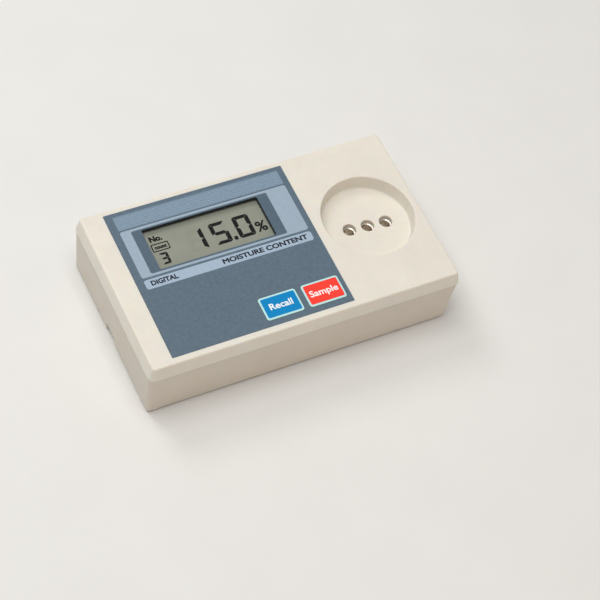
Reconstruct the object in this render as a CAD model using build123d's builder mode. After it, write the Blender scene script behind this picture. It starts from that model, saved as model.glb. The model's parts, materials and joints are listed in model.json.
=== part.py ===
from build123d import *

import os
from math import atan2, cos, degrees, radians, sin, tan

# Bench-top grain moisture meter. Millimetres, +Z up, +X to the right along the case, +Y to the back.
# The origin is on the table, under the middle of the case.

# --- Case, outside ---------------------------------------------------------------------------
lip_length = 160.0          # widest outline, at the lower edge of the upper case
lip_width = 91.7
top_length = 156.5          # flat top face
top_width = 88.2
base_length = 156.3         # underside of the lower case
base_width = 88.0
lip_overhang = 0.4          # the upper case stands out over the lower case by this much
foot_height = 1.0           # the underside hangs this far above the table
seam_z = foot_height + 29.3
top_z = foot_height + 36.4
lip_corner_r = 3.0
base_corner_r = 1.2
top_edge_r = 0.9

# --- Case, inside ----------------------------------------------------------------------------
wall = 2.2
floor_t = 2.4
roof_t = 2.4
floor_z = foot_height + floor_t
ceiling_z = top_z - roof_t
tongue_height = 1.5
tongue_t = 0.8
inner_corner_r = 2.2
slip = 0.2                  # gap beside a piece that slides or drops in
bite = 0.5                  # how far a post or a rib runs into the wall that carries it
past = 1.0                  # how far a cut runs past the faces that it opens

# --- Printed overlay on the top face ---------------------------------------------------------
overlay_x = (-67.5, 24.35)
overlay_y = (-40.95, 41.55)
overlay_t = 0.5
overlay_sink = 0.4          # depth of the shallow recess that the overlay is stuck into
overlay_corner_r = 0.3
overlay_seat_z = top_z - overlay_sink

# --- Display ---------------------------------------------------------------------------------
display_x, display_y = -24.05, 16.8
window_length, window_width = 59.5, 23.3
window_corner_r = 1.0
lens_length, lens_width, lens_t = 63.6, 27.4, 1.0
glass_length, glass_width, glass_t = 66.4, 32.4, 1.1
rear_glass_width = 26.4
reflector_t = 0.3
display_depth = 3.0         # from the top face down to the display glass
bezel_length, bezel_width = 70.0, 36.0
bezel_wall = 1.6

# --- Keys ------------------------------------------------------------------------------------
key_length, key_width = 19.0, 12.6
key_y = -31.6
key_centres = {"average": -9.2, "measure": 12.7}
key_rise = 0.4              # height of the key above the top face
key_t = 1.4
key_travel = 0.45
key_corner_r = 1.3
pocket_gap = 0.5            # round the key in the roof
plunger_r = 3.0
plunger_seat = 0.6          # depth of the socket for the plunger under the key
collar_r, collar_t = 4.2, 0.8
switch_size, switch_t = 6.0, 3.5
stem_r, stem_height = 1.7, 2.3
stem_play = 0.08

# --- Sample well and its sockets -------------------------------------------------------------
well_x, well_y = 52.0, 0.6
well_r_top, well_r_floor = 22.95, 22.2
well_depth = 7.8
well_wall = 1.8
well_floor_t = 2.8
well_foot_r, well_rim_r = 0.8, 0.45
well_floor_z = top_z - well_depth
socket_row_x, socket_row_y = 52.9, 0.0
socket_pitch = 9.5
socket_turn = -3.8          # degrees, the row of sockets is turned a little against the case
socket_hole_r = 3.3
socket_r, socket_bore_r = 3.7, 2.75
socket_flange_r, socket_flange_t = 4.3, 1.0
socket_length = 9.8         # from the underside of the well down to the contact board
socket_end_t = 1.0          # closed end of each socket
socket_mouth_r, socket_mouth_t = 3.25, 0.3      # shallow cone that leads a pin into the bore
socket_names = ("left", "centre", "right")
contact_board_length, contact_board_width = 46.0, 20.0
contact_screw_x = 19.0
contact_screw_length = 5.5

# --- Boards ----------------------------------------------------------------------------------
board_t = 1.6
board_top_z = 29.6
board_x = (-63.5, 23.0)
board_y = (-39.0, 40.5)
board_screw_points = ((-60.5, -35.5), (20.0, -18.5), (-60.2, 37.7), (19.5, 37.0))
board_boss_r = 2.8
board_screw_r, board_head_r, board_head_t = 1.2, 2.4, 1.6
board_screw_play = 0.15
board_screw_length = 6.1
header_t = 5.0

# --- Case screws and feet --------------------------------------------------------------------
screw_x, screw_y = 69.5, 35.5
screw_r, screw_hole_r = 1.5, 1.7
screw_head_r, screw_head_t = 2.9, 2.2
screw_length = 20.0
lower_boss_r, upper_boss_r = 4.4, 3.6
boss_split_z = 12.0
head_seat_z = 4.4
foot_x, foot_y, foot_r, foot_t = 57.0, 34.0, 5.0, 2.0
foot_play = 0.1

# --- Battery bay and its sliding door --------------------------------------------------------
bay_half = 14.5
bay_wall = 2.6
bay_end_x = -13.6
bay_end_t = 1.6
bay_ceiling_z = 21.4
door_half = 14.1
door_flange = 1.5           # the door's side edges run this far into the grooves
flange_play = 0.15
door_t = 1.9
flange_t = 0.75
door_left_x = -78.0
door_right_x = -13.9
notch_half = 4.9            # finger notch in the left wall
notch_height = 4.6
notch_depth = 1.4
tab_t = 1.2
tab_play = 0.3
tab_root_r, tab_tip_r = 0.8, 1.0
lead_slot_half = 4.5        # opening for the battery leads in the end wall of the bay
lead_slot_z = (11.0, 17.0)

# --- Battery ---------------------------------------------------------------------------------
battery_length, battery_width, battery_height = 46.0, 26.0, 17.0
battery_left_x = -73.0
battery_z = 3.6
terminal_height = 2.5
terminal_spacing = 12.7
snap_t = 4.5
lead_r = 0.6                # of the battery leads and the sensor leads

os.makedirs("parts", exist_ok=True)


def save(builder, name):
    """Label one finished piece and write it."""
    builder.part.label = name
    export_step(builder.part, f"parts/{name}.step")


def block(x, y, z, mode=Mode.ADD):
    """A box between two limits on each axis, in the part being built."""
    with Locations(((x[0] + x[1]) / 2, (y[0] + y[1]) / 2, (z[0] + z[1]) / 2)):
        Box(x[1] - x[0], y[1] - y[0], z[1] - z[0], mode=mode)


def rod(x, y, z, radius, mode=Mode.ADD):
    """An upright cylinder between two heights, in the part being built."""
    with Locations((x, y, z[0])):
        Cylinder(radius, z[1] - z[0], align=(Align.CENTER, Align.CENTER, Align.MIN), mode=mode)


def drafted_box(low, high, inset, low_r, mode=Mode.ADD):
    """A box with round corners whose walls lean evenly; low and high are (z, length, width)."""
    height = high[0] - low[0]
    lean = degrees(atan2((low[1] - high[1]) / 2, height))
    with BuildSketch(Plane.XY.offset(low[0]), mode=Mode.PRIVATE) as outline:
        RectangleRounded(low[1] - 2 * inset, low[2] - 2 * inset, low_r)
    extrude(outline.sketch, amount=height, taper=lean, mode=mode)


def slab(z, thickness, centre, size, radius, mode=Mode.ADD):
    """A flat plate with rounded corners."""
    with BuildSketch(Plane.XY.offset(z), mode=Mode.PRIVATE) as outline:
        with Locations(centre):
            RectangleRounded(*size, radius)
    extrude(outline.sketch, amount=thickness, mode=mode)


def between(low, high, part):
    """The value part of the way from low to high."""
    return low + (high - low) * part


def four_corners(x, y):
    """Four points, symmetrical about the middle of the case."""
    return [(sx * x, sy * y) for sx in (-1, 1) for sy in (-1, 1)]


def socket_points():
    """Centres of the three sockets in the well floor."""
    step_x = socket_pitch * cos(radians(socket_turn))
    step_y = socket_pitch * sin(radians(socket_turn))
    return [(socket_row_x + i * step_x, socket_row_y + i * step_y) for i in (-1, 0, 1)]


def arc_radii(points):
    """The radius of the arc at each corner of a lead's route, as large as its two runs allow."""
    corners = [Vector(*p) for p in points]
    radii = []
    for before, here, after in zip(corners, corners[1:], corners[2:]):
        run_in, run_out = here - before, after - here
        turn = run_in.get_angle(run_out)
        radii.append(0.45 * min(run_in.length, run_out.length) / tan(radians(turn / 2)))
    print("lead radii", [round(r, 1) for r in radii])
    return radii


# === Case ====================================================================================

overlay_centre = (sum(overlay_x) / 2, sum(overlay_y) / 2)
overlay_size = (overlay_x[1] - overlay_x[0], overlay_y[1] - overlay_y[0])
key_top_z = top_z + key_rise
key_bottom_z = key_top_z - key_t
key_pocket_z = key_bottom_z - key_travel - slip
well_under_z = well_floor_z - well_floor_t
contact_board_z = well_under_z - socket_length
lens_z = overlay_seat_z - lens_t

with BuildPart() as upper_case:
    drafted_box((seam_z, lip_length, lip_width), (top_z, top_length, top_width), 0, lip_corner_r)
    fillet(upper_case.faces().sort_by(Axis.Z)[-1].edges(), top_edge_r)
    rise = (ceiling_z - seam_z) / (top_z - seam_z)
    ceiling = (ceiling_z, between(lip_length, top_length, rise), between(lip_width, top_width, rise))
    drafted_box((seam_z, lip_length, lip_width), ceiling, wall, inner_corner_r, mode=Mode.SUBTRACT)

    # The well hangs from the roof as a drafted cup.
    cup_height = ceiling_z + bite - well_under_z
    with Locations((well_x, well_y, well_under_z)):
        Cone(
            well_r_floor + well_wall,
            well_r_top + well_wall,
            cup_height,
            align=(Align.CENTER, Align.CENTER, Align.MIN),
        )
    with Locations((well_x, well_y, well_floor_z)):
        Cone(
            well_r_floor,
            well_r_top,
            well_depth,
            align=(Align.CENTER, Align.CENTER, Align.MIN),
            mode=Mode.SUBTRACT,
        )
    rings = upper_case.edges().filter_by(GeomType.CIRCLE)
    fillet(rings.filter_by(lambda e: abs(e.radius - well_r_floor) < 0.01), well_foot_r)
    rings = upper_case.edges().filter_by(GeomType.CIRCLE)
    fillet(rings.filter_by(lambda e: abs(e.radius - well_r_top) < 0.01), well_rim_r)
    for x, y in socket_points():
        rod(x, y, (well_under_z - past, well_floor_z + past), socket_hole_r, mode=Mode.SUBTRACT)
    rings = upper_case.edges().filter_by(GeomType.CIRCLE)
    rings = rings.filter_by(lambda e: abs(e.radius - socket_hole_r) < 0.01)
    fillet(rings.filter_by(lambda e: abs(e.center().Z - well_floor_z) < 0.01), 0.25)

    # Shallow recess for the overlay, with the display opening and the two key pockets in it.
    recess_size = (overlay_size[0] + slip, overlay_size[1] + slip)
    slab(overlay_seat_z, past, overlay_centre, recess_size, overlay_corner_r, mode=Mode.SUBTRACT)
    display = (display_x, display_y)
    lens_seat = (lens_length + slip, lens_width + slip)
    slab(lens_z, lens_t + past, display, lens_seat, window_corner_r + slip, mode=Mode.SUBTRACT)
    opening = (window_length + 1.6, window_width + 1.6)
    slab(ceiling_z - past, roof_t, display, opening, window_corner_r, mode=Mode.SUBTRACT)
    for x in key_centres.values():
        pocket = (key_length + 2 * pocket_gap, key_width + 2 * pocket_gap)
        pocket_r = key_corner_r + pocket_gap
        slab(key_pocket_z, roof_t, (x, key_y), pocket, pocket_r, mode=Mode.SUBTRACT)
        rod(x, key_y, (ceiling_z - past, top_z), plunger_r + slip, mode=Mode.SUBTRACT)

    # Posts for the case screws, the main board and the contact board.
    for x, y in four_corners(screw_x, screw_y):
        rod(x, y, (boss_split_z, ceiling_z + bite), upper_boss_r)
        screw_hole_z = (boss_split_z - past, head_seat_z + screw_length + 1)
        rod(x, y, screw_hole_z, screw_r, mode=Mode.SUBTRACT)
    for x, y in board_screw_points:
        rod(x, y, (board_top_z, ceiling_z + bite), board_boss_r)
        rod(x, y, (board_top_z - past, ceiling_z - bite), board_screw_r, mode=Mode.SUBTRACT)
    for side in (-1, 1):
        x = well_x + side * contact_screw_x
        rod(x, well_y, (contact_board_z, well_under_z + bite), board_boss_r)
        screw_hole_z = (contact_board_z - past, contact_board_z + contact_screw_length + 1)
        rod(x, well_y, screw_hole_z, board_screw_r, mode=Mode.SUBTRACT)
save(upper_case, "upper_case")

with BuildPart() as lower_case:
    seam_length = lip_length - 2 * lip_overhang
    seam_width = lip_width - 2 * lip_overhang
    base = (foot_height, base_length, base_width)
    seam = (seam_z, seam_length, seam_width)
    drafted_box(base, seam, 0, base_corner_r)
    bottom_edges = lower_case.faces().sort_by(Axis.Z)[0].edges()
    fillet(bottom_edges, 0.5)
    lift = (floor_z - foot_height) / (seam_z - foot_height)
    floor = (floor_z, between(base_length, seam_length, lift), between(base_width, seam_width, lift))
    drafted_box(floor, seam, wall, base_corner_r, mode=Mode.SUBTRACT)

    # Tongue that locates the upper case, on a thicker rim. Both are left out beside the sample well.
    rim_t = 2.0
    rim_z = seam_z - rim_t
    tongue_size = (lip_length - 2 * wall - 1.1, lip_width - 2 * wall - 1.1)
    slab(rim_z, rim_t + tongue_height, (0, 0), tongue_size, 2.0)
    slab(rim_z, rim_t, (0, 0), (tongue_size[0] + 1, tongue_size[1] + 1), 2.0)
    core = (tongue_size[0] - 2 * tongue_t, tongue_size[1] - 2 * tongue_t)
    slab(rim_z - past, past + rim_t + tongue_height, (0, 0), core, 1.2, mode=Mode.SUBTRACT)
    gap_x = (well_x, lip_length / 2 - wall - bite)
    gap_y = (well_y - 13.5, well_y + 13.5)
    block(gap_x, gap_y, (rim_z - past, seam_z + tongue_height + past), mode=Mode.SUBTRACT)

    # Battery bay: two side walls, an end wall and a ceiling, open underneath for the door.
    bay_outer = bay_half + bay_wall
    bay_left_x = -base_length / 2 + wall - bite
    bay_right_x = bay_end_x + bay_end_t
    bay_top_z = bay_ceiling_z + bay_end_t
    block((bay_left_x, bay_right_x), (-bay_outer, bay_outer), (foot_height, bay_top_z))
    inner_left_x = -base_length / 2 + wall
    block((inner_left_x, bay_end_x), (-bay_half, bay_half), (0, bay_ceiling_z), mode=Mode.SUBTRACT)
    door_top_z = foot_height + door_t
    groove_z = (door_top_z - flange_t - flange_play, door_top_z + slip)
    block((-lip_length, bay_end_x), (-bay_half, bay_half), (0, groove_z[1]), mode=Mode.SUBTRACT)
    groove_half = door_half + door_flange + slip
    block((-lip_length, bay_end_x), (-groove_half, groove_half), groove_z, mode=Mode.SUBTRACT)
    slot_x = (bay_end_x - past, bay_right_x + past)
    block(slot_x, (-lead_slot_half, lead_slot_half), lead_slot_z, mode=Mode.SUBTRACT)

    # Finger notch through the lower edge of the left wall.
    notch_z = (0, foot_height + notch_height)
    block((-lip_length, inner_left_x + past), (-notch_half, notch_half), notch_z, mode=Mode.SUBTRACT)

    for x, y in four_corners(screw_x, screw_y):
        rod(x, y, (foot_height, boss_split_z), lower_boss_r)
        rod(x, y, (0, boss_split_z + past), screw_hole_r, mode=Mode.SUBTRACT)
        rod(x, y, (0, head_seat_z), screw_head_r + slip, mode=Mode.SUBTRACT)
    for x, y in four_corners(foot_x, foot_y):
        rod(x, y, (0, foot_t), foot_r + foot_play, mode=Mode.SUBTRACT)
save(lower_case, "lower_case")

with BuildPart() as battery_door:
    plate_x = (door_left_x, door_right_x)
    block(plate_x, (-door_half, door_half), (foot_height, door_top_z))
    flange_half = door_half + door_flange
    block(plate_x, (-flange_half, flange_half), (door_top_z - flange_t, door_top_z))

    # The end of the plate is cut back behind the finger notch, where the latch tab stands up.
    notch_y = (-notch_half, notch_half)
    tab_x = door_left_x + notch_depth
    block((door_left_x - past, tab_x), notch_y, (0, door_top_z + past), mode=Mode.SUBTRACT)
    tab_half = notch_half - tab_play
    tab_top_z = foot_height + notch_height - tab_play
    block((tab_x, tab_x + tab_t), (-tab_half, tab_half), (door_top_z, tab_top_z))
    tab_roots = battery_door.edges().filter_by(Axis.Y)
    tab_roots = tab_roots.filter_by(lambda e: abs(e.center().Z - door_top_z) < 0.01)
    tab_roots = tab_roots.filter_by(lambda e: abs(e.center().X - tab_x - tab_t) < 0.01)
    fillet(tab_roots, tab_root_r)
    tab_tips = battery_door.edges().filter_by(Axis.X)
    fillet(tab_tips.filter_by(lambda e: abs(e.center().Z - tab_top_z) < 0.01), tab_tip_r)

    # Grip ridges for the thumb: shallow grooves across the underside.
    ridge_pitch, ridge_groove = 2.2, 1.0
    for i in range(7):
        groove_x = door_left_x + 8 + i * ridge_pitch
        groove_span = (groove_x, groove_x + ridge_groove)
        block(groove_span, (-9, 9), (0, foot_height + 0.5), mode=Mode.SUBTRACT)
save(battery_door, "battery_door")

drive_slot = (3.2, 0.7, 1.8)        # length, width and height of the box that cuts a cross arm
with BuildPart() as case_screws:
    for x, y in four_corners(screw_x, screw_y):
        rod(x, y, (head_seat_z - screw_head_t, head_seat_z), screw_head_r)
        rod(x, y, (head_seat_z, head_seat_z + screw_length), screw_r)
        for angle in (0, 90):
            with Locations(Location((x, y, head_seat_z - screw_head_t), (0, 0, angle))):
                Box(*drive_slot, mode=Mode.SUBTRACT)
save(case_screws, "case_screws")

with BuildPart() as rubber_feet:
    for x, y in four_corners(foot_x, foot_y):
        rod(x, y, (0, foot_t), foot_r)
    fillet(rubber_feet.faces().filter_by(Axis.Z).group_by(Axis.Z)[0].edges(), 0.5)
save(rubber_feet, "rubber_feet")

# === Overlay, lens and keys ==================================================================

with BuildPart() as graphic_overlay:
    slab(overlay_seat_z, overlay_t, overlay_centre, overlay_size, overlay_corner_r)
    cut_z, cut_t = overlay_seat_z - past, overlay_t + 2 * past
    window = (window_length, window_width)
    slab(cut_z, cut_t, display, window, window_corner_r, mode=Mode.SUBTRACT)
    for x in key_centres.values():
        key_hole = (key_length + 2 * slip, key_width + 2 * slip)
        slab(cut_z, cut_t, (x, key_y), key_hole, key_corner_r + slip, mode=Mode.SUBTRACT)
save(graphic_overlay, "graphic_overlay")

with BuildPart() as display_window:
    slab(lens_z, lens_t, display, (lens_length, lens_width), window_corner_r + 0.1)
save(display_window, "display_window")

plunger_bottom_z = key_pocket_z - 1.9
stem_bottom_z = plunger_bottom_z - stem_height
plunger_top_z = key_bottom_z + plunger_seat
for key, x in key_centres.items():
    with BuildPart() as key_cap:
        slab(key_bottom_z, key_t, (x, key_y), (key_length, key_width), key_corner_r)
        fillet(key_cap.faces().sort_by(Axis.Z)[-1].edges(), 0.25)
        rod(x, key_y, (key_bottom_z - past, plunger_top_z), plunger_r, mode=Mode.SUBTRACT)
    save(key_cap, f"{key}_key_cap")

    with BuildPart() as plunger:
        rod(x, key_y, (plunger_bottom_z, plunger_top_z), plunger_r)
        rod(x, key_y, (plunger_bottom_z, plunger_bottom_z + collar_t), collar_r)
    save(plunger, f"{key}_key_plunger")

    with BuildPart() as switch_stem:
        rod(x, key_y, (stem_bottom_z, plunger_bottom_z), stem_r)
    save(switch_stem, f"{key}_switch_stem")

    with BuildPart() as switch_body:
        slab(board_top_z, switch_t, (x, key_y), (switch_size, switch_size), 0.6)
        stem_hole_z = (stem_bottom_z - key_travel - 0.1, plunger_bottom_z)
        rod(x, key_y, stem_hole_z, stem_r + stem_play, mode=Mode.SUBTRACT)
    save(switch_body, f"{key}_switch_body")

# === Display stack ===========================================================================

glass_top_z = top_z - display_depth
with BuildPart() as lcd_front_glass:
    slab(glass_top_z - glass_t, glass_t, display, (glass_length, glass_width), 0.3)
save(lcd_front_glass, "lcd_front_glass")

with BuildPart() as lcd_rear_glass:
    slab(glass_top_z - 2 * glass_t, glass_t, display, (glass_length, rear_glass_width), 0.3)
save(lcd_rear_glass, "lcd_rear_glass")

with BuildPart() as lcd_reflector:
    reflector_z = glass_top_z - 2 * glass_t - reflector_t
    slab(reflector_z, reflector_t, display, (glass_length - 2, rear_glass_width - 1), 0.3)
save(lcd_reflector, "lcd_reflector")

with BuildPart() as zebra_strips:
    strip_length, strip_t = 60.0, 2.2
    strip_height = glass_top_z - glass_t - board_top_z
    for side in (-1, 1):
        strip_y = display_y + side * (glass_width + rear_glass_width) / 4
        with Locations((display_x, strip_y, board_top_z + strip_height / 2)):
            Box(strip_length, strip_t, strip_height)
save(zebra_strips, "zebra_strips")

with BuildPart() as lcd_bezel:
    bezel_gap = 0.05            # below the roof and below the lens
    bezel_top_z = ceiling_z - bezel_gap
    slab(board_top_z, bezel_top_z - board_top_z, display, (bezel_length, bezel_width), 1.5)
    glass_room = (glass_length + slip, glass_width + slip)
    slab(board_top_z, glass_top_z - board_top_z, display, glass_room, 0.4, mode=Mode.SUBTRACT)
    collar = (window_length + 1.4, window_width + 1.4)
    slab(glass_top_z, lens_z - bezel_gap - glass_top_z, display, collar, window_corner_r)
    view = (window_length + 0.4, window_width + 0.4)
    slab(glass_top_z - past, roof_t + past, display, view, 0.8, mode=Mode.SUBTRACT)
save(lcd_bezel, "lcd_bezel")

# === Main board and what is soldered to it ===================================================

board_under_z = board_top_z - board_t
with BuildPart() as main_board:
    block(board_x, board_y, (board_under_z, board_top_z))
    for x, y in board_screw_points:
        rod(x, y, (0, top_z), board_screw_r + board_screw_play, mode=Mode.SUBTRACT)
save(main_board, "main_board")

with BuildPart() as board_screws:
    for x, y in board_screw_points:
        rod(x, y, (board_under_z - board_head_t, board_under_z), board_head_r)
        rod(x, y, (board_under_z, board_under_z + board_screw_length), board_screw_r)
save(board_screws, "board_screws")

with BuildPart() as microcontroller:
    chip_x, chip_y, chip_size, chip_t = -36.0, -26.0, 10.0, 1.5
    pin_pitch, pin_width, pin_t, pins = 0.8, 0.36, 0.6, 11
    pin_span = chip_size + 2
    chip_gap = 0.1              # between the chip and the board
    slab(board_under_z - chip_gap - chip_t, chip_t, (chip_x, chip_y), (chip_size, chip_size), 0.4)
    for i in range(pins):
        along = (i - (pins - 1) / 2) * pin_pitch
        pin_z = board_under_z - pin_t / 2
        with Locations((chip_x + along, chip_y, pin_z)):
            Box(pin_width, pin_span, pin_t)
        with Locations((chip_x, chip_y + along, pin_z)):
            Box(pin_span, pin_width, pin_t)
save(microcontroller, "microcontroller")

with BuildPart() as crystal:
    can_width, can_length, can_t = 4.6, 11.0, 3.5
    can_end_r = can_width / 2 - 0.01
    slab(board_under_z - can_t, can_t, (-49.0, -26.0), (can_width, can_length), can_end_r)
save(crystal, "crystal")

with BuildPart() as capacitors:
    can_r, can_t = 2.5, 7.0
    for x, y in ((-8.0, -20.0), (4.0, -12.0)):
        rod(x, y, (board_under_z - can_t, board_under_z), can_r)
    cap_length, cap_width, cap_t, cap_pitch = 2.0, 1.2, 0.9, 3.5
    for i in range(4):
        with Locations((-27.0 + i * cap_pitch, -33.4, board_under_z - cap_t / 2)):
            Box(cap_length, cap_width, cap_t)
save(capacitors, "capacitors")

header_bottom_z = board_under_z - header_t
header_mid_z = board_under_z - header_t / 2
lead_header_x, battery_header_x = 14.0, -2.0
with BuildPart() as sensor_header:
    with Locations((lead_header_x, well_y, header_mid_z)):
        Box(6, 8, header_t)
save(sensor_header, "sensor_header")

with BuildPart() as battery_header:
    with Locations((battery_header_x, 0, header_mid_z)):
        Box(6, 7, header_t)
save(battery_header, "battery_header")

# === Sockets and contact board under the well ================================================

for name, (x, y) in zip(socket_names, socket_points()):
    with BuildPart() as contact_socket:
        rod(x, y, (contact_board_z, well_under_z), socket_r)
        rod(x, y, (well_under_z - socket_flange_t, well_under_z), socket_flange_r)
        bore_z = (contact_board_z + socket_end_t, well_under_z + past)
        rod(x, y, bore_z, socket_bore_r, mode=Mode.SUBTRACT)
        with Locations((x, y, well_under_z - socket_mouth_t)):
            Cone(
                socket_bore_r,
                socket_mouth_r,
                socket_mouth_t,
                align=(Align.CENTER, Align.CENTER, Align.MIN),
                mode=Mode.SUBTRACT,
            )
    save(contact_socket, f"{name}_contact_socket")

contact_under_z = contact_board_z - board_t
with BuildPart() as contact_board:
    board_size = (contact_board_length, contact_board_width)
    slab(contact_under_z, board_t, (well_x, well_y), board_size, 2.0)
    for side in (-1, 1):
        x = well_x + side * contact_screw_x
        rod(x, well_y, (0, top_z), board_screw_r + board_screw_play, mode=Mode.SUBTRACT)
save(contact_board, "contact_board")

with BuildPart() as contact_board_screws:
    for side in (-1, 1):
        x = well_x + side * contact_screw_x
        rod(x, well_y, (contact_under_z - board_head_t, contact_under_z), board_head_r)
        rod(x, well_y, (contact_under_z, contact_board_z + contact_screw_length), board_screw_r)
save(contact_board_screws, "contact_board_screws")

contact_header_x = 42.0
contact_header_z = contact_under_z - header_t / 2
with BuildPart() as contact_header:
    with Locations((contact_header_x, well_y, contact_header_z)):
        Box(6, 8, header_t)
save(contact_header, "contact_header")

sensor_lead_pitch = 2.2
with BuildPart() as sensor_leads:
    for i in (-1, 0, 1):
        y = well_y + i * sensor_lead_pitch
        route = (
            (lead_header_x, y, header_bottom_z),
            (lead_header_x, y, 17.0),
            (19.5, y, contact_header_z + 1.3),
            (28.0, y, contact_header_z),
            (contact_header_x - 3, y, contact_header_z),
        )
        with BuildLine() as lead_line:
            FilletPolyline(*route, radius=arc_radii(route))
        with BuildSketch(Plane(lead_line.line @ 0, z_dir=lead_line.line % 0)):
            Circle(lead_r)
        sweep(path=lead_line.line)
save(sensor_leads, "sensor_leads")

# === Battery =================================================================================

battery_right_x = battery_left_x + battery_length
battery_mid_z = battery_z + battery_height / 2
with BuildPart() as battery:
    span_y = (-battery_width / 2, battery_width / 2)
    span_z = (battery_z, battery_z + battery_height)
    block((battery_left_x, battery_right_x), span_y, span_z)
    fillet(battery.edges().filter_by(Axis.X), 2.0)
save(battery, "battery")

end_plane = Plane((battery_right_x, 0, battery_mid_z), x_dir=(0, 1, 0), z_dir=(1, 0, 0))
half_pitch = terminal_spacing / 2
with BuildPart() as battery_terminals:
    for side, radius in ((-1, 2.9), (1, 4.2)):
        with BuildSketch(end_plane):
            with Locations((side * half_pitch, 0)):
                Circle(radius)
        extrude(amount=terminal_height)
save(battery_terminals, "battery_terminals")

snap_gap = 0.2
with BuildPart() as battery_snap:
    snap_plane = end_plane.offset(snap_gap)
    with BuildSketch(snap_plane):
        RectangleRounded(24.5, 11.5, 3.0)
    extrude(amount=snap_t)
    for side in (-1, 1):
        with BuildSketch(snap_plane):
            with Locations((side * half_pitch, 0)):
                Circle(4.5)
        extrude(amount=terminal_height, mode=Mode.SUBTRACT)
save(battery_snap, "battery_snap")

snap_back_x = battery_right_x + snap_gap + snap_t
header_entry = {"red": 1.6, "black": -1.6}
lead_start = {"red": 3.2, "black": -3.0}
lead_rise = {"red": 14.2, "black": 13.4}
for colour in ("red", "black"):
    start_y, end_y, z = lead_start[colour], header_entry[colour], lead_rise[colour]
    mid_y = (start_y + end_y) / 2
    route = (
        (snap_back_x, start_y, z),
        (snap_back_x + 6.5, start_y, z),
        (-8.5, mid_y, z + 0.5),
        (-3.4, end_y, z + 2.6),
        (battery_header_x, end_y, z + 5.2),
        (battery_header_x, end_y, header_bottom_z),
    )
    with BuildPart() as battery_lead:
        with BuildLine() as lead_line:
            FilletPolyline(*route, radius=arc_radii(route))
        with BuildSketch(Plane(lead_line.line @ 0, z_dir=lead_line.line % 0)):
            Circle(lead_r)
        sweep(path=lead_line.line)
    save(battery_lead, f"{colour}_battery_lead")

with BuildPart() as battery_pad:
    pad_x = (battery_left_x + 5, battery_right_x - 5)
    block(pad_x, (-10, 10), (battery_z + battery_height, bay_ceiling_z))
save(battery_pad, "battery_pad")
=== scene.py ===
import json
import math

import bmesh
import bpy
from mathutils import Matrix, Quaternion, Vector


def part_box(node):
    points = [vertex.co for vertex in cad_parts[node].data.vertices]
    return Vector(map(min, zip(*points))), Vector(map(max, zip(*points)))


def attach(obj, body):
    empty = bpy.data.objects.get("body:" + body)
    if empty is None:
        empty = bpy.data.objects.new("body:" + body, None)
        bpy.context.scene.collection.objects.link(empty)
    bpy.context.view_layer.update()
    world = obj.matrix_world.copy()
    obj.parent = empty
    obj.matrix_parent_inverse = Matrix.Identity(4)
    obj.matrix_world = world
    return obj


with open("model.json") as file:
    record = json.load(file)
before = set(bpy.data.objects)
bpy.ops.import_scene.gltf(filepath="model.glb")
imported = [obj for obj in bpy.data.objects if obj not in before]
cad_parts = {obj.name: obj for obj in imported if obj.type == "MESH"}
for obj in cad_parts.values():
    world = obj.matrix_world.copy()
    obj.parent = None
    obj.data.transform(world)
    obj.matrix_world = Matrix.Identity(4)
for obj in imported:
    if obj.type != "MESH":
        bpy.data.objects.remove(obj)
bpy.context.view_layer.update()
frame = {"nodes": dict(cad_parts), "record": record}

# Looks of the bench-top grain moisture meter. Blender units are metres; MM turns millimetres into them.
MM = 0.001
nodes = frame["nodes"]


# === Places, read from the frame =============================================================

def middle(node):
    """Centre of a CAD node's box, in metres."""
    low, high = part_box(node)
    return (Vector(low) + Vector(high)) / 2


overlay_low, overlay_high = (Vector(p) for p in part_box("graphic_overlay"))
overlay_top = overlay_high.z
glass_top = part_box("lcd_front_glass")[1][2]
lens_middle = middle("display_window")
window_size = (59.5 * MM, 23.3 * MM)        # opening in the overlay over the display
window_corner = 1.0 * MM
ink = 0.03 * MM                 # height of a printed layer
ink_sink = 0.01 * MM            # how far it reaches into what it is printed on
ink_gloss = 0.22                # specular level of every printed ink
glow_tint = (1.0, 0.55, 0.3)    # how far red, green and blue light spread in the plastic
glow_reach = 2.5 * MM
capital_share = 0.7             # height of a capital letter in the font, against its size


# === Materials ===============================================================================

def srgb(red, green, blue):
    """Linear colour from 0-255 screen values."""
    def linear(value):
        value /= 255
        return value / 12.92 if value <= 0.04045 else ((value + 0.055) / 1.055) ** 2.4
    return (linear(red), linear(green), linear(blue), 1.0)


def shade(colour, factor):
    """The same colour, lighter or darker."""
    return tuple(min(1.0, c * factor) for c in colour[:3]) + (1.0,)


def start_material(name):
    """A new material with its node tree, its shader and its object coordinates."""
    material = bpy.data.materials.new(name)
    material.use_nodes = True
    tree = material.node_tree
    coordinates = tree.nodes.new("ShaderNodeTexCoord").outputs["Object"]
    return material, tree, tree.nodes["Principled BSDF"], coordinates


def noise(tree, coordinates, grain, detail=3.0, stretch=None, harsh=0.5):
    """Noise whose blobs are about grain metres across; harsh weighs its finer octaves."""
    if stretch:
        mapping = tree.nodes.new("ShaderNodeMapping")
        mapping.inputs["Scale"].default_value = stretch
        tree.links.new(coordinates, mapping.inputs["Vector"])
        coordinates = mapping.outputs["Vector"]
    texture = tree.nodes.new("ShaderNodeTexNoise")
    texture.inputs["Scale"].default_value = 1 / grain
    texture.inputs["Detail"].default_value = detail
    texture.inputs["Roughness"].default_value = harsh
    tree.links.new(coordinates, texture.inputs["Vector"])
    return texture.outputs["Fac"]


def ramp(tree, factor, *stops):
    """Colours along a factor; stops are (place, colour)."""
    node = tree.nodes.new("ShaderNodeValToRGB")
    elements = node.color_ramp.elements
    while len(elements) < len(stops):
        elements.new(0.5)
    for element, (place, colour) in zip(elements, stops):
        element.position = place
        element.color = colour
    tree.links.new(factor, node.inputs["Fac"])
    return node.outputs["Color"]


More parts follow.
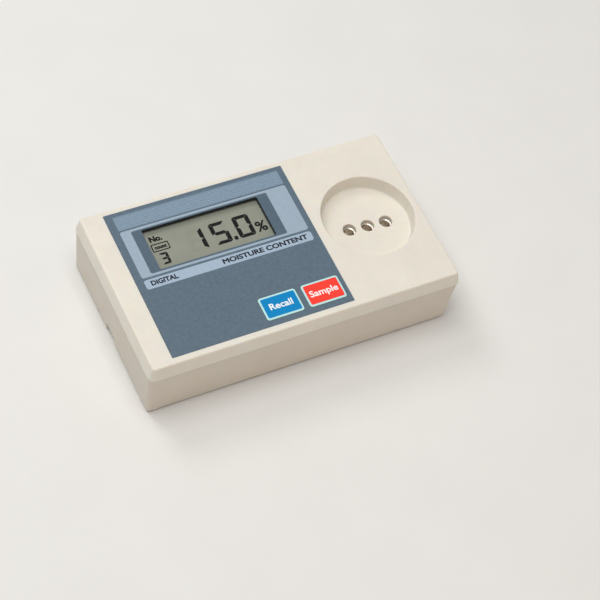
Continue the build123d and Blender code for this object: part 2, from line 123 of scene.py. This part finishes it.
def spread(tree, factor, low, high, start=0.3, end=0.7):
    """Stretches a factor between start and end to run from low to high."""
    node = tree.nodes.new("ShaderNodeMapRange")
    node.inputs["From Min"].default_value = start
    node.inputs["From Max"].default_value = end
    node.inputs["To Min"].default_value = low
    node.inputs["To Max"].default_value = high
    tree.links.new(factor, node.inputs["Value"])
    return node.outputs["Result"]


def bump(tree, shader, height, distance):
    """Relief on a shader from a height."""
    node = tree.nodes.new("ShaderNodeBump")
    node.inputs["Distance"].default_value = distance
    node.inputs["Strength"].default_value = 1.0
    tree.links.new(height, node.inputs["Height"])
    tree.links.new(node.outputs["Normal"], shader.inputs["Normal"])


def moulded(name, colour, grain, depth, roughness, variety=0.05, gloss=0.5, glow=0.0):
    """Moulded plastic or rubber: spark texture, uneven tone and sheen.

    Grain and depth size the texture, variety the tone; glow lets light through thin edges.
    """
    material, tree, shader, coordinates = start_material(name)
    tone = noise(tree, coordinates, 14 * MM, 6.0, harsh=0.75)
    stops = ((0.3, shade(colour, 1 - variety)), (0.7, shade(colour, 1 + variety)))
    tree.links.new(ramp(tree, tone, *stops), shader.inputs["Base Color"])
    fine = noise(tree, coordinates, grain, 2.0)
    sheen = spread(tree, fine, roughness - 0.06, roughness + 0.08)
    tree.links.new(sheen, shader.inputs["Roughness"])
    bump(tree, shader, fine, depth)
    shader.inputs["Specular IOR Level"].default_value = gloss
    shader.inputs["Subsurface Weight"].default_value = glow
    shader.inputs["Subsurface Radius"].default_value = glow_tint
    shader.inputs["Subsurface Scale"].default_value = glow_reach
    return material


def printed(name, colour, roughness=0.55, speckle=0.05):
    """Screen-printed ink on film: fine speckle, a slight velvet relief and little sheen."""
    material, tree, shader, coordinates = start_material(name)
    dots = noise(tree, coordinates, 1.8 * MM, 3.0, harsh=0.8)
    stops = ((0.35, shade(colour, 1 - speckle)), (0.65, shade(colour, 1 + speckle)))
    tree.links.new(ramp(tree, dots, *stops), shader.inputs["Base Color"])
    velvet = noise(tree, coordinates, 0.22 * MM, 1.0)
    tree.links.new(spread(tree, velvet, roughness - 0.05, roughness + 0.05), shader.inputs["Roughness"])
    bump(tree, shader, velvet, 0.006 * MM)
    shader.inputs["Specular IOR Level"].default_value = ink_gloss
    return material


def metal(name, colour, roughness, scratch, stretch=(1, 1, 1)):
    """Plated or turned metal with fine tool marks."""
    material, tree, shader, coordinates = start_material(name)
    marks = noise(tree, coordinates, scratch, 4.0, stretch)
    stops = ((0.3, shade(colour, 0.86)), (0.7, shade(colour, 1.08)))
    tree.links.new(ramp(tree, marks, *stops), shader.inputs["Base Color"])
    tree.links.new(spread(tree, marks, roughness - 0.06, roughness + 0.12), shader.inputs["Roughness"])
    bump(tree, shader, marks, 0.008 * MM)
    shader.inputs["Metallic"].default_value = 1.0
    return material


def display_glass():
    """Polarised face of the display: grey-olive, faintly uneven, satin."""
    material, tree, shader, coordinates = start_material("display_face")
    tone = noise(tree, coordinates, 20 * MM, 2.0)
    colour = srgb(150, 153, 140)
    stops = ((0.3, shade(colour, 0.97)), (0.7, shade(colour, 1.03)))
    tree.links.new(ramp(tree, tone, *stops), shader.inputs["Base Color"])
    fine = noise(tree, coordinates, 0.3 * MM, 1.0)
    tree.links.new(spread(tree, fine, 0.3, 0.38), shader.inputs["Roughness"])
    bump(tree, shader, fine, 0.003 * MM)
    shader.inputs["Specular IOR Level"].default_value = 0.25
    return material


def clear_film():
    """Clear window: nearly invisible, with a trace of uneven sheen."""
    material, tree, shader, coordinates = start_material("clear_film")
    haze = noise(tree, coordinates, 6 * MM, 5.0)
    tree.links.new(spread(tree, haze, 0.06, 0.14), shader.inputs["Roughness"])
    tree.links.new(spread(tree, haze, 0.01, 0.03), shader.inputs["Alpha"])
    shader.inputs["Base Color"].default_value = srgb(90, 94, 94)
    shader.inputs["Specular IOR Level"].default_value = 0.2
    return material


def board_laminate():
    """Green solder mask with the shadow of tracks under it."""
    material, tree, shader, coordinates = start_material("board_laminate")
    tracks = tree.nodes.new("ShaderNodeTexVoronoi")
    tracks.inputs["Scale"].default_value = 1 / (4 * MM)
    tracks.distance = "MANHATTAN"
    tree.links.new(coordinates, tracks.inputs["Vector"])
    green = srgb(28, 92, 52)
    stops = ((0.25, shade(green, 1.35)), (0.4, green))
    tree.links.new(ramp(tree, tracks.outputs["Distance"], *stops), shader.inputs["Base Color"])
    bump(tree, shader, tracks.outputs["Distance"], 0.02 * MM)
    shader.inputs["Roughness"].default_value = 0.35
    return material


def battery_jacket():
    """Painted steel jacket: a dark body with a lighter band at the terminal end."""
    material, tree, shader, coordinates = start_material("battery_jacket")
    split = tree.nodes.new("ShaderNodeSeparateXYZ")
    tree.links.new(coordinates, split.inputs["Vector"])
    low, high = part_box("battery")
    along = spread(tree, split.outputs["X"], 0, 1, low[0], high[0])
    body, stripe, band = srgb(52, 58, 66), srgb(205, 206, 204), srgb(120, 128, 138)
    stops = ((0.0, body), (0.70, stripe), (0.72, band), (1.0, band))
    colours = ramp(tree, along, *stops)
    colours.node.color_ramp.interpolation = "CONSTANT"
    tree.links.new(colours, shader.inputs["Base Color"])
    scuff = noise(tree, coordinates, 3 * MM, 6.0)
    tree.links.new(spread(tree, scuff, 0.25, 0.42), shader.inputs["Roughness"])
    bump(tree, shader, scuff, 0.02 * MM)
    return material


def foam():
    """Closed-cell foam."""
    material, tree, shader, coordinates = start_material("cell_foam")
    cells = tree.nodes.new("ShaderNodeTexVoronoi")
    cells.inputs["Scale"].default_value = 1 / (0.5 * MM)
    tree.links.new(coordinates, cells.inputs["Vector"])
    grey = srgb(70, 70, 72)
    stops = ((0.1, shade(grey, 0.5)), (0.5, grey))
    tree.links.new(ramp(tree, cells.outputs["Distance"], *stops), shader.inputs["Base Color"])
    bump(tree, shader, cells.outputs["Distance"], 0.15 * MM)
    shader.inputs["Roughness"].default_value = 0.9
    return material


slate = srgb(94, 111, 126)
band_blue = srgb(118, 139, 158)
frame_blue = srgb(157, 174, 190)
cyan = srgb(190, 232, 232)
ivory = srgb(231, 225, 214)
# a darker copy of the ivory: painted shade for the lower case's side walls
shaded_wall_ivory = srgb(217, 209, 197)

upper_plastic = moulded("ivory_upper", ivory, 0.35 * MM, 0.012 * MM, 0.42, 0.035, 0.4, 0.3)
# the lower case and the battery door take the darker ivory, painted shade on the case's side walls
shaded_lower_plastic = moulded("ivory_lower_painted_shade", shaded_wall_ivory, 0.35 * MM, 0.014 * MM, 0.5, 0.03, 0.4, 0.3)
overlay_ink = printed("overlay_slate", slate, 0.5, 0.09)
surround_ink = printed("surround_slate", srgb(86, 103, 118), 0.5, 0.07)
band_ink = printed("band_blue", band_blue, 0.5, 0.06)
thread_ink = printed("band_thread", srgb(146, 167, 187), 0.5, 0.05)
frame_ink = printed("frame_blue", frame_blue, 0.5, 0.04)
strip_ink = printed("strip_blue", srgb(164, 183, 202), 0.5, 0.04)
letter_ink = printed("letter_slate", srgb(34, 38, 50), 0.5, 0.05)
white_ink = printed("letter_white", srgb(250, 250, 250), 0.45, 0.03)
outline_ink = printed("key_outline", cyan, 0.4, 0.03)
blue_ink = printed("key_blue", srgb(0, 134, 198), 0.4, 0.04)
red_ink = printed("key_red", srgb(255, 66, 54), 0.4, 0.04)
segment_ink = printed("segment_black", srgb(8, 9, 10), 0.6, 0.1)
ghost_ink = printed("segment_ghost", srgb(147, 150, 137), 0.35, 0.02)
display_face = display_glass()
bright_plate = metal("bright_plate", srgb(205, 205, 205), 0.25, 0.4 * MM)

by_slot = {
    "upper_case": upper_plastic,
    "lower_case": shaded_lower_plastic,
    "battery_door": shaded_lower_plastic,
    "screw_steel": metal("zinc_steel", srgb(190, 192, 196), 0.3, 0.5 * MM),
    "foot_rubber": moulded("foot_rubber", srgb(38, 38, 40), 0.3 * MM, 0.03 * MM, 0.75, 0.15),
    "overlay_film": overlay_ink,
    "clear_window": clear_film(),
    "average_key": outline_ink,
    "measure_key": outline_ink,
    "plunger_plastic": moulded("acetal", srgb(214, 212, 204), 0.3 * MM, 0.01 * MM, 0.4),
    "switch_stem": moulded("switch_nylon_stem", srgb(30, 30, 32), 0.2 * MM, 0.01 * MM, 0.4),
    "switch_body": moulded("switch_nylon_body", srgb(40, 40, 42), 0.2 * MM, 0.01 * MM, 0.4),
    "lcd_glass": display_face,
    "lcd_rear": display_face,
    "reflector": metal("reflector_foil", srgb(200, 200, 196), 0.5, 0.2 * MM),
    "zebra_rubber": moulded("zebra_rubber", srgb(120, 116, 108), 0.2 * MM, 0.02 * MM, 0.7, 0.2),
    "bezel_plastic": moulded("bezel_black", srgb(34, 34, 33), 0.3 * MM, 0.01 * MM, 0.5, 0.1),
    "board_laminate": board_laminate(),
    "chip_plastic": moulded("chip_epoxy", srgb(36, 37, 40), 0.15 * MM, 0.01 * MM, 0.55, 0.1),
    "crystal_can": bright_plate,
    "capacitor_case": moulded("capacitor_sleeve", srgb(30, 40, 84), 0.3 * MM, 0.006 * MM, 0.3, 0.1),
    "header_plastic": moulded("header_nylon", srgb(226, 220, 200), 0.25 * MM, 0.01 * MM, 0.45),
    "socket_metal": metal("socket_nickel", srgb(232, 224, 212), 0.32, 0.3 * MM, (1, 1, 6)),
    "lead_grey": moulded("lead_grey", srgb(120, 120, 124), 0.3 * MM, 0.005 * MM, 0.35),
    "battery_case": battery_jacket(),
    "battery_metal": bright_plate,
    "snap_plastic": moulded("snap_vinyl", srgb(30, 30, 31), 0.3 * MM, 0.02 * MM, 0.5, 0.1),
    "lead_red": moulded("lead_red", srgb(190, 28, 26), 0.3 * MM, 0.005 * MM, 0.35),
    "lead_black": moulded("lead_black", srgb(28, 28, 30), 0.3 * MM, 0.005 * MM, 0.35),
    "pad_foam": foam(),
}
for subpart in frame["record"]["subparts"]:
    materials = nodes[subpart["node"]].data.materials
    materials.clear()
    materials.append(by_slot[subpart["material_slot"]])


# === Flat shapes =============================================================================

def rounded_outline(centre, size, radius, steps=8):
    """Points of a rectangle with round corners, anticlockwise from the lower right."""
    points = []
    for turn, (sx, sy) in enumerate(((1, -1), (1, 1), (-1, 1), (-1, -1))):
        corner = (centre[0] + sx * (size[0] / 2 - radius), centre[1] + sy * (size[1] / 2 - radius))
        for i in range(steps + 1):
            angle = math.radians(-90 + 90 * turn + 90 * i / steps)
            points.append((corner[0] + radius * math.cos(angle), corner[1] + radius * math.sin(angle)))
    return points


def add_prism(mesh, outline, low, high):
    """Adds a flat closed plate over an outline to a bmesh."""
    bottom = [mesh.verts.new((x, y, low)) for x, y in outline]
    top = [mesh.verts.new((x, y, high)) for x, y in outline]
    mesh.faces.new(reversed(bottom))
    mesh.faces.new(top)
    count = len(outline)
    for i in range(count):
        j = (i + 1) % count
        mesh.faces.new((bottom[i], bottom[j], top[j], top[i]))


def add_ring(mesh, outer, inner, low, high):
    """Adds a flat closed ring between two outlines with as many points each."""
    rows = [
        [mesh.verts.new((x, y, z)) for x, y in outline]
        for outline, z in ((outer, low), (outer, high), (inner, high), (inner, low))
    ]
    count = len(outer)
    for a, b in zip(rows, rows[1:] + rows[:1]):
        for i in range(count):
            j = (i + 1) % count
            mesh.faces.new((a[i], a[j], b[j], b[i]))


def add_piece(data, name, material, body):
    """Puts a mesh into the scene as a piece that rides on a body."""
    piece = bpy.data.objects.new(name, data)
    bpy.context.scene.collection.objects.link(piece)
    data.materials.clear()
    data.materials.append(material)
    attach(piece, body)


def finish_piece(mesh, name, material, body="root"):
    """Turns a bmesh into a piece that rides on a body."""
    data = bpy.data.meshes.new(name)
    mesh.to_mesh(data)
    mesh.free()
    add_piece(data, name, material, body)


def plate(name, centre, size, radius, top, material, body="root"):
    """A printed patch with round corners."""
    mesh = bmesh.new()
    add_prism(mesh, rounded_outline(centre, size, radius), top - ink_sink, top + ink)
    finish_piece(mesh, name, material, body)


def legend(
    name, words, centre, height, top, material, weight, width=1.0, body="root", slot="overlay_film"
):
    """Printed letters; height is that of a capital, weight fattens them and width stretches them."""
    curve = bpy.data.curves.new(name, "FONT")
    curve.body = words
    curve.align_x = "CENTER"
    curve.align_y = "CENTER"
    curve.size = height / capital_share
    curve.bevel_depth = weight
    curve.bevel_resolution = 1
    curve.resolution_u = 4
    curve.extrude = ink / 2
    text = bpy.data.objects.new(name, curve)
    bpy.context.scene.collection.objects.link(text)
    bpy.context.view_layer.update()
    data = bpy.data.meshes.new_from_object(text.evaluated_get(bpy.context.evaluated_depsgraph_get()))
    bpy.data.objects.remove(text)
    thick = ink / 2 + weight
    for vertex in data.vertices:
        x, y, z = vertex.co
        level = top + ink * (0.5 + 0.5 * z / thick) - ink_sink
        vertex.co = (centre[0] + x * width, centre[1] + y, level)
    data.name = name
    add_piece(data, name, material, body)


# === Printed overlay =========================================================================

art_left, art_right = overlay_low.x + 3.7 * MM, overlay_high.x - 2.95 * MM
art_width = art_right - art_left
art_x = (art_left + art_right) / 2
wide_corner, field_corner, band_corner = 1.2 * MM, 0.8 * MM, 0.3 * MM
strip_letters = 2.5 * MM


def up(distance):
    """A place on the overlay, in metres above its front edge."""
    return overlay_low.y + distance * MM


strip_low, strip_high = up(37.5), up(42.7)
frame_low, frame_high = up(43.9), up(71.4)
field_low, field_high = up(45.15), up(70.1)
band_low, band_high = up(72.1), up(80.4)
field_left, field_right = art_left + 5.1 * MM, art_right - 10.5 * MM
field_centre = ((field_left + field_right) / 2, (field_low + field_high) / 2)
field_size = (field_right - field_left, field_high - field_low)


def patterned_band():
    """The band along the back: a tinted strip crossed by two families of fine wavy threads."""
    height = band_high - band_low
    centre = (art_x, (band_low + band_high) / 2)
    plate("band_ground", centre, (art_width, height), band_corner, overlay_top, band_ink)
    mesh = bmesh.new()
    pitch, swing, wave, thickness = 0.72 * MM, 0.24 * MM, 2.2 * MM, 0.25 * MM
    margin, first_row, steps_in_wave = 0.2 * MM, 0.7, 8
    level = overlay_top + 1.5 * ink
    rows = int((height - 2 * swing) / pitch)
    steps = int(art_width / wave * steps_in_wave)
    for row in range(rows):
        y = band_low + swing + (row + first_row) * pitch
        phase = math.pi * (row % 2)
        below, above = [], []
        for i in range(steps + 1):
            x = art_left + margin + (art_width - 2 * margin) * i / steps
            thread_y = y + swing * math.sin(2 * math.pi * (x - art_left) / wave + phase)
            below.append((x, thread_y - thickness / 2, level))
            above.append((x, thread_y + thickness / 2, level))
        for i in range(steps):
            quad = (below[i], below[i + 1], above[i + 1], above[i])
            mesh.faces.new([mesh.verts.new(corner) for corner in quad])
    bmesh.ops.remove_doubles(mesh, verts=mesh.verts, dist=0.001 * MM)
    bmesh.ops.solidify(mesh, geom=mesh.faces[:], thickness=ink)
    finish_piece(mesh, "band_threads", thread_ink)


def display_frame():
    """The pale frame round the display, wider on the right."""
    centre = (art_x, (frame_low + frame_high) / 2)
    outer = rounded_outline(centre, (art_width, frame_high - frame_low), wide_corner)
    inner = rounded_outline(field_centre, field_size, field_corner)
    mesh = bmesh.new()
    add_ring(mesh, outer, inner, overlay_top - ink_sink, overlay_top + ink)
    finish_piece(mesh, "display_frame", frame_ink)


def window_surround():
    """A darker printed field between the frame and the display window."""
    outer = rounded_outline(field_centre, field_size, field_corner)
    inner = rounded_outline(lens_middle[:2], window_size, window_corner)
    mesh = bmesh.new()
    add_ring(mesh, outer, inner, overlay_top - ink_sink, overlay_top + 0.5 * ink)
    finish_piece(mesh, "window_surround", surround_ink)


def legend_strip():
    """The pale strip below the frame with its generic legend."""
    y = (strip_low + strip_high) / 2
    size = (art_width, strip_high - strip_low)
    plate("legend_strip", (art_x, y), size, wide_corner, overlay_top, strip_ink)
    top = overlay_top + ink
    left_spot = (art_left + 9.5 * MM, y)
    right_spot = (art_right - 24.5 * MM, y)
    legend("strip_word", "DIGITAL", left_spot, strip_letters, top, letter_ink, 0.16 * MM)
    legend(
        "strip_legend", "MOISTURE CONTENT", right_spot, strip_letters, top, letter_ink, 0.15 * MM, 1.25
    )


patterned_band()
display_frame()
window_surround()
legend_strip()


# === Keys ====================================================================================

outline_x, outline_y = 0.9 * MM, 1.0 * MM       # width of the cap that shows round the inlay
inlay_corner = 0.7 * MM
key_letters = 3.3 * MM


def key_face(key, words, material):
    """The coloured inlay and the legend of one key; the cap itself shows as the outline."""
    low, high = (Vector(p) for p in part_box(f"{key}_key_cap"))
    centre = (low + high) / 2
    size = (high.x - low.x - 2 * outline_x, high.y - low.y - 2 * outline_y)
    slot, body = f"{key}_key", f"{key}_key"
    plate(f"{key}_key_face", centre, size, inlay_corner, high.z, material, body)
    top = high.z + ink
    name = f"{key}_key_legend"
    legend(name, words, centre, key_letters, top, white_ink, 0.1 * MM, 1.08, body, slot)


key_face("average", "Recall", blue_ink)
key_face("measure", "Sample", red_ink)


# === Display =================================================================================

digit_height, digit_width = 12.5 * MM, 8.3 * MM
digit_pitch = 12.1 * MM
upright_bar = 2.1 * MM
digit_right = lens_middle.x + 22.3 * MM
digit_base = lens_middle.y - 6.35 * MM
count_corner = (lens_middle.x - 26.3 * MM, lens_middle.y - 8.0 * MM)
count_height, count_width, count_bar = 6.6 * MM, 4.4 * MM, 1.35 * MM
point_size = (1.8 * MM, 2.2 * MM)
point_corner = 0.5 * MM


def flipped(points, side_x, side_y):
    """An outline mirrored about the middle of its digit, still anticlockwise."""
    mirrored = [(side_x * x, side_y * y) for x, y in points]
    return mirrored if side_x * side_y > 0 else mirrored[::-1]


def seven_bars(x, y, width, height, upright):
    """Outlines of a digit's seven segments, mitred at the corners; x, y is its lower left corner."""
    gap, cut, level = 0.07 * MM, 0.4 * upright, 0.86 * upright
    right, top = width / 2, height / 2
    inner_x, inner_y = right - upright, top - level
    roof = [(inner_x - gap, inner_y), (right - cut / 2 - gap, top - cut / 2), (right - cut, top)]
    roof += [(-px, py) for px, py in reversed(roof)]
    post = [
        (right - cut / 2, top - cut / 2 - gap), (inner_x, inner_y - gap), (inner_x, level / 2 + gap),
        (right - upright / 2, gap), (right, gap), (right, top - cut),
    ]
    beam = [(right - upright / 2 - gap, 0), (inner_x - gap, level / 2), (gap - inner_x, level / 2)]
    beam += [(-px, -py) for px, py in beam]
    bars = {
        "a": roof, "b": post, "c": flipped(post, 1, -1), "d": flipped(roof, 1, -1),
        "e": flipped(post, -1, -1), "f": flipped(post, -1, 1), "g": beam,
    }
    middle_x, middle_y = x + right, y + top
    return {name: [(middle_x + px, middle_y + py) for px, py in bar] for name, bar in bars.items()}


LIT = {"0": "abcdef", "1": "bc", "3": "abcdg", "5": "acdfg"}


def show_digits():
    """The reading 15.0 and the small count, with the unlit segments as faint ghosts."""
    lit, ghost = bmesh.new(), bmesh.new()
    places = [digit_right - digit_width - i * digit_pitch for i in (2, 1, 0)]
    level = (glass_top - ink_sink, glass_top + ink)
    for character, x in zip("150", places):
        bars = seven_bars(x, digit_base, digit_width, digit_height, upright_bar)
        for bar_name, outline in bars.items():
            add_prism(lit if bar_name in LIT[character] else ghost, outline, *level)
    count = seven_bars(*count_corner, count_width, count_height, count_bar)
    for bar_name, outline in count.items():
        add_prism(lit if bar_name in LIT["3"] else ghost, outline, *level)
    point = (places[2] - (digit_pitch - digit_width) / 2, digit_base + point_size[1] / 2)
    add_prism(lit, rounded_outline(point, point_size, point_corner), *level)
    finish_piece(lit, "display_segments", segment_ink)
    finish_piece(ghost, "display_ghosts", ghost_ink)


def show_symbols():
    """The per cent sign and the small boxed label beside the count."""
    style = {"top": glass_top, "material": segment_ink, "slot": "lcd_glass"}
    percent = (lens_middle.x + 26.1 * MM, digit_base + 3.2 * MM)
    legend("display_percent", "%", percent, 5.6 * MM, weight=0.22 * MM, **style)
    label = (lens_middle.x - 24.2 * MM, lens_middle.y + 6.9 * MM)
    legend("display_label", "No.", label, 2.9 * MM, weight=0.24 * MM, **style)
    box = (lens_middle.x - 23.6 * MM, lens_middle.y + 2.0 * MM)
    length, width, line, corner = 8.8 * MM, 4.5 * MM, 0.55 * MM, 0.6 * MM
    mesh = bmesh.new()
    outer = rounded_outline(box, (length, width), corner)
    inner = rounded_outline(box, (length - 2 * line, width - 2 * line), corner / 2)
    add_ring(mesh, outer, inner, glass_top - ink_sink, glass_top + ink)
    finish_piece(mesh, "display_box", segment_ink)
    legend("display_boxed_word", "count", box, 1.8 * MM, weight=0.16 * MM, **style)


show_digits()
show_symbols()


# === Stage, lights and camera ================================================================

def stage_floor():
    """A plain pale floor."""
    mesh = bpy.data.meshes.new("floor")
    reach = 3.0
    corners = [(-reach, -reach, 0), (reach, -reach, 0), (reach, reach, 0), (-reach, reach, 0)]
    mesh.from_pydata(corners, [], [(0, 1, 2, 3)])
    floor = bpy.data.objects.new("floor", mesh)
    bpy.context.scene.collection.objects.link(floor)
    material, tree, shader, coordinates = start_material("floor_paper")
    paper = noise(tree, coordinates, 40 * MM, 3.0)
    stops = ((0.3, (0.80, 0.79, 0.77, 1)), (0.7, (0.82, 0.81, 0.79, 1)))
    tree.links.new(ramp(tree, paper, *stops), shader.inputs["Base Color"])
    shader.inputs["Roughness"].default_value = 0.9
    mesh.materials.append(material)


def area_light(name, place, aim, size, power, colour=(1, 1, 1)):
    """A square soft box pointed at a spot."""
    data = bpy.data.lights.new(name, "AREA")
    data.size = size
    data.energy = power
    data.color = colour
    light = bpy.data.objects.new(name, data)
    bpy.context.scene.collection.objects.link(light)
    light.location = place
    light.rotation_mode = "QUATERNION"
    light.rotation_quaternion = (Vector(aim) - Vector(place)).to_track_quat("-Z", "Y")


def light_room():
    """A broad top light, a key from behind, a weak warm fill in front and a pale room."""
    area_light("top", (-0.25, 0.0, 1.3), (0, 0, 0), 0.9, 9.3, (0.99, 1.0, 1.0))
    area_light("key", (-0.34, 0.8, 1.1), (0, 0, 0), 0.5, 4.6, (1.0, 0.995, 0.975))
    area_light("fill", (0.35, -1.1, 0.45), (0, 0, 0), 0.8, 1.1, (1.0, 0.6, 0.28))
    world = bpy.data.worlds.new("room")
    bpy.context.scene.world = world
    world.use_nodes = True
    background = world.node_tree.nodes["Background"]
    background.inputs["Color"].default_value = (1.0, 0.98, 0.945, 1)
    background.inputs["Strength"].default_value = 0.35


def aim_camera():
    """The long-lens view from the front left, tilted a little clockwise."""
    azimuth, elevation, roll = math.radians(-37.17), math.radians(55.15), math.radians(14.38)
    distance = 0.9209
    aim = Vector((0.2 * MM, -32.2 * MM, 37.4 * MM))
    back = Vector((
        math.sin(azimuth) * math.cos(elevation),
        -math.cos(azimuth) * math.cos(elevation),
        math.sin(elevation),
    ))
    data = bpy.data.cameras.new("camera")
    data.lens = 120.06
    data.sensor_width = 36.0
    data.clip_start = 0.01
    camera = bpy.data.objects.new("camera", data)
    bpy.context.scene.collection.objects.link(camera)
    camera.location = aim + back * distance
    camera.rotation_mode = "QUATERNION"
    camera.rotation_quaternion = (-back).to_track_quat("-Z", "Y") @ Quaternion((0, 0, 1), roll)
    bpy.context.scene.camera = camera


stage_floor()
light_room()
aim_camera()
bpy.context.scene.view_settings.view_transform = "Standard"
